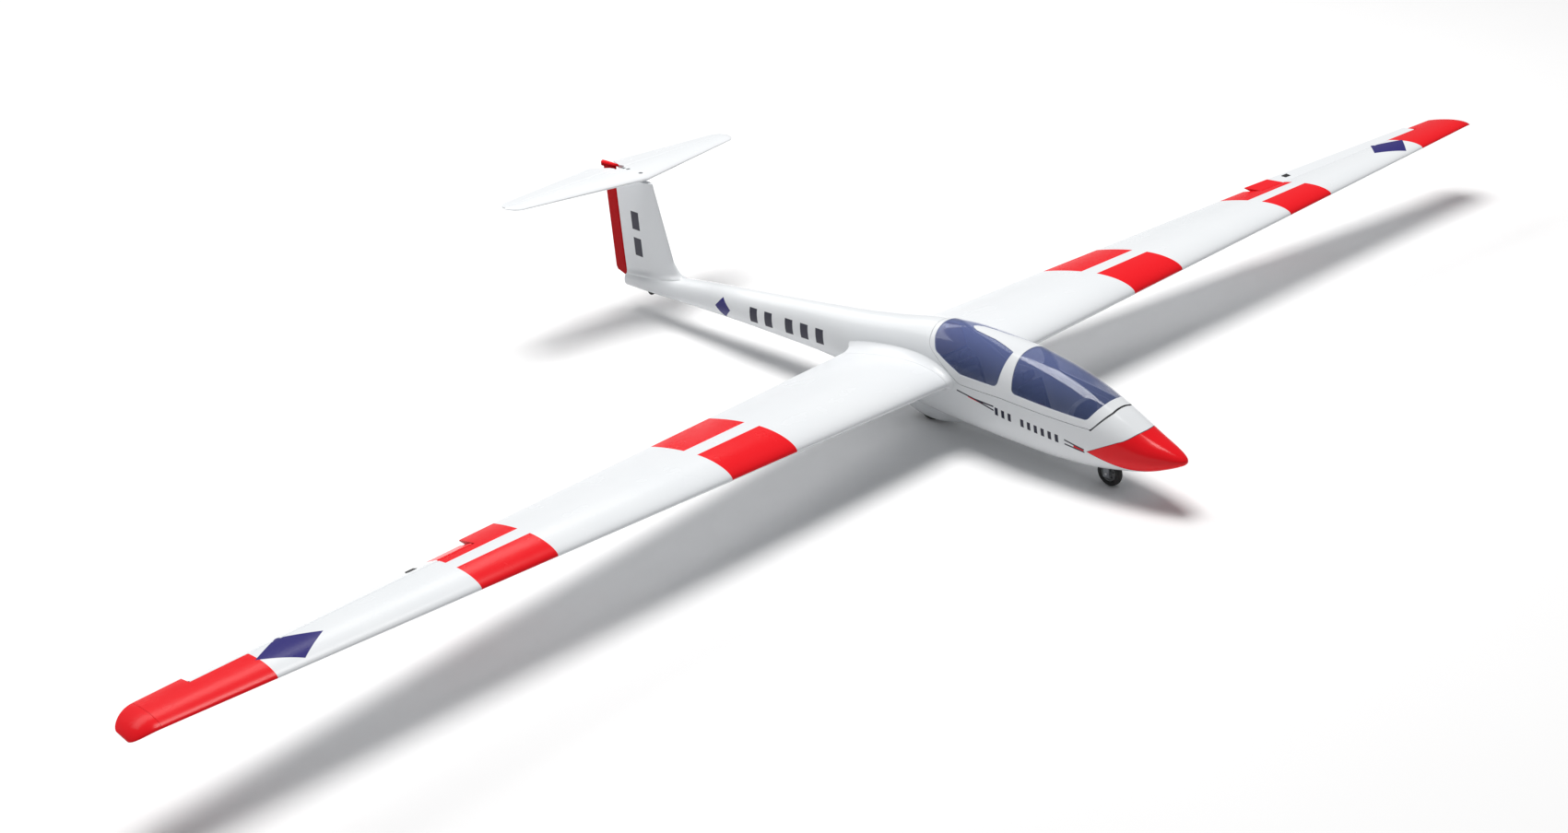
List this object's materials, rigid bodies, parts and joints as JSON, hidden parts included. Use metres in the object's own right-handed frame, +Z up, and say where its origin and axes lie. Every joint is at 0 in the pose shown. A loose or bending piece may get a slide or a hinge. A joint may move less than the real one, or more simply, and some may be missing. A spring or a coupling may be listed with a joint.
{
  "type": "radio controlled model sailplane",
  "caption": "Radio controlled scale model of a two-seat training glider with a T-tail, a lift-off tinted canopy, plug-in wings, working controls and wheels in line.",
  "frame": {"origin": "on the ground, under the middle of the bounding box", "axes": "+X along the left wing, -Y towards the nose, +Z up"},
  "size_m": [2.6, 1.2632, 0.2665],
  "materials": {
    "white_gelcoat": "gloss",
    "white_film": "gloss",
    "red_film": "gloss",
    "canopy_tint": "gloss",
    "black_plastic": "satin",
    "white_plastic": "satin",
    "wheel_rubber": "matte",
    "wheel_hub": "satin",
    "steel_wire": "satin",
    "plywood": "matte",
    "seat_cloth": "matte",
    "cockpit_grey": "matte",
    "battery_wrap": "gloss"
  },
  "bodies": {
    "fuselage": {"fuselage_shell": "white_gelcoat", "front_seat": "seat_cloth", "rear_seat": "seat_cloth", "front_instrument_panel": "black_plastic", "rear_instrument_panel": "black_plastic", "flight_battery": "battery_wrap", "equipment_tray": "plywood", "receiver": "black_plastic", "cockpit_floor": "cockpit_grey", "cockpit_rear_former": "plywood", "former_magnet": "steel_wire", "nose_wheel_axle": "steel_wire", "main_wheel_axle": "steel_wire", "nose_wheel_bracket": "plywood", "main_wheel_bracket": "plywood", "tail_wheel_axle": "steel_wire", "wing_joiner_rod": "steel_wire", "tailplane": "white_film", "tailplane_front_bolt": "steel_wire", "tailplane_rear_bolt": "steel_wire", "rudder_hinge_wire": "steel_wire", "rudder_servo": "black_plastic", "elevator_servo": "black_plastic", "elevator_cable_tube": "black_plastic"},
    "canopy": {"canopy_frame": "white_gelcoat", "front_canopy_window": "canopy_tint", "rear_canopy_window": "canopy_tint", "hatch_magnet": "steel_wire"},
    "nose_wheel": {"nose_tyre": "wheel_rubber", "nose_hub": "wheel_hub"},
    "main_wheel": {"main_tyre": "wheel_rubber", "main_hub": "wheel_hub"},
    "tail_wheel": {"tail_wheel": "wheel_rubber"},
    "elevator": {"left_elevator": "white_film", "right_elevator": "white_film", "elevator_joiner_wire": "steel_wire", "elevator_horn": "black_plastic"},
    "elevator_servo_arm": {"elevator_servo_arm": "white_plastic"},
    "rudder": {"rudder": "red_film", "rudder_horn": "black_plastic"},
    "rudder_servo_arm": {"rudder_servo_arm": "white_plastic"},
    "rudder_pushrod": {"rudder_pushrod": "steel_wire"},
    "left_wing": {"left_wing_panel": "white_film", "left_tip_cap": "red_film", "left_wing_pin": "steel_wire", "left_aileron_servo": "black_plastic", "left_servo_cover": "white_plastic"},
    "left_aileron": {"left_aileron": "white_film", "left_aileron_horn": "black_plastic"},
    "left_servo_arm": {"left_servo_arm": "white_plastic"},
    "left_aileron_pushrod": {"left_aileron_pushrod": "steel_wire"},
    "right_wing": {"right_wing_panel": "white_film", "right_tip_cap": "red_film", "right_wing_pin": "steel_wire", "right_aileron_servo": "black_plastic", "right_servo_cover": "white_plastic"},
    "right_aileron": {"right_aileron": "white_film", "right_aileron_horn": "black_plastic"},
    "right_servo_arm": {"right_servo_arm": "white_plastic"},
    "right_aileron_pushrod": {"right_aileron_pushrod": "steel_wire"}
  },
  "joints": [
    {"name": "canopy_lift", "type": "slide", "parent": "fuselage", "child": "canopy", "axis": [0, 0, 1], "range_m": [0, 0.12]},
    {"name": "nose_wheel_spin", "type": "hinge", "parent": "fuselage", "child": "nose_wheel", "pos_m": [0, -0.49962, 0.02], "axis": [1, 0, 0], "continuous": true},
    {"name": "main_wheel_spin", "type": "hinge", "parent": "fuselage", "child": "main_wheel", "pos_m": [0, -0.15462, 0.0275], "axis": [1, 0, 0], "continuous": true},
    {"name": "tail_wheel_spin", "type": "hinge", "parent": "fuselage", "child": "tail_wheel", "pos_m": [0, 0.52938, 0.047], "axis": [1, 0, 0], "continuous": true},
    {"name": "elevator_hinge", "type": "hinge", "parent": "fuselage", "child": "elevator", "pos_m": [0, 0.58038, 0.256], "axis": [1, 0, 0], "range_deg": [-20, 20]},
    {"name": "elevator_servo_turn", "type": "hinge", "parent": "fuselage", "child": "elevator_servo_arm", "pos_m": [-0.018, -0.13362, 0.09], "axis": [0, 0, 1], "range_deg": [-25, 25]},
    {"name": "rudder_hinge", "type": "hinge", "parent": "fuselage", "child": "rudder", "pos_m": [0, 0.59338, 0.16], "axis": [0, 0, 1], "range_deg": [-30, 30]},
    {"name": "rudder_servo_turn", "type": "hinge", "parent": "fuselage", "child": "rudder_servo_arm", "pos_m": [0, -0.10162, 0.09], "axis": [0, 0, 1], "range_deg": [-30, 30]},
    {"name": "rudder_pushrod_pivot", "type": "hinge", "parent": "rudder_servo_arm", "child": "rudder_pushrod", "pos_m": [0.015, -0.10162, 0.088], "axis": [0, 0, 1], "range_deg": [-30, 30]},
    {"name": "left_wing_slide", "type": "slide", "parent": "fuselage", "child": "left_wing", "axis": [0.9995, 0, 0.0332], "range_m": [0, 0.27]},
    {"name": "right_wing_slide", "type": "slide", "parent": "fuselage", "child": "right_wing", "axis": [-0.9995, 0, 0.0332], "range_m": [0, 0.27]},
    {"name": "left_aileron_hinge", "type": "hinge", "parent": "left_wing", "child": "left_aileron", "pos_m": [0.888, -0.16658, 0.12928], "axis": [0.9933, -0.1103, 0.0351], "range_deg": [-32, 8]},
    {"name": "right_aileron_hinge", "type": "hinge", "parent": "right_wing", "child": "right_aileron", "pos_m": [-0.888, -0.16658, 0.12928], "axis": [0.9933, 0.1103, -0.0351], "range_deg": [-8, 32]},
    {"name": "left_servo_turn", "type": "hinge", "parent": "left_wing", "child": "left_servo_arm", "pos_m": [0.888, -0.2034, 0.13107], "axis": [0.9933, -0.1103, 0.0351], "range_deg": [-32, 8]},
    {"name": "right_servo_turn", "type": "hinge", "parent": "right_wing", "child": "right_servo_arm", "pos_m": [-0.888, -0.2034, 0.13107], "axis": [0.9933, 0.1103, -0.0351], "range_deg": [-8, 32]},
    {"name": "left_pushrod_pivot", "type": "hinge", "parent": "left_servo_arm", "child": "left_aileron_pushrod", "pos_m": [0.8886, -0.20212, 0.11815], "axis": [0.9933, -0.1103, 0.0351], "range_deg": [-8, 32]},
    {"name": "right_pushrod_pivot", "type": "hinge", "parent": "right_servo_arm", "child": "right_aileron_pushrod", "pos_m": [-0.88799, -0.20746, 0.11873], "axis": [0.9933, 0.1103, -0.0351], "range_deg": [-32, 8]}
  ],
  "couplings": [
    {"joint": "elevator_servo_turn", "follows": "elevator_hinge", "ratio": 1.1667},
    {"joint": "rudder_servo_turn", "follows": "rudder_hinge", "ratio": 1},
    {"joint": "rudder_pushrod_pivot", "follows": "rudder_hinge", "ratio": -1},
    {"joint": "right_aileron_hinge", "follows": "left_aileron_hinge", "ratio": -1},
    {"joint": "left_servo_turn", "follows": "left_aileron_hinge", "ratio": 1},
    {"joint": "right_servo_turn", "follows": "left_aileron_hinge", "ratio": -1},
    {"joint": "left_pushrod_pivot", "follows": "left_aileron_hinge", "ratio": -1},
    {"joint": "right_pushrod_pivot", "follows": "left_aileron_hinge", "ratio": 1}
  ]
}
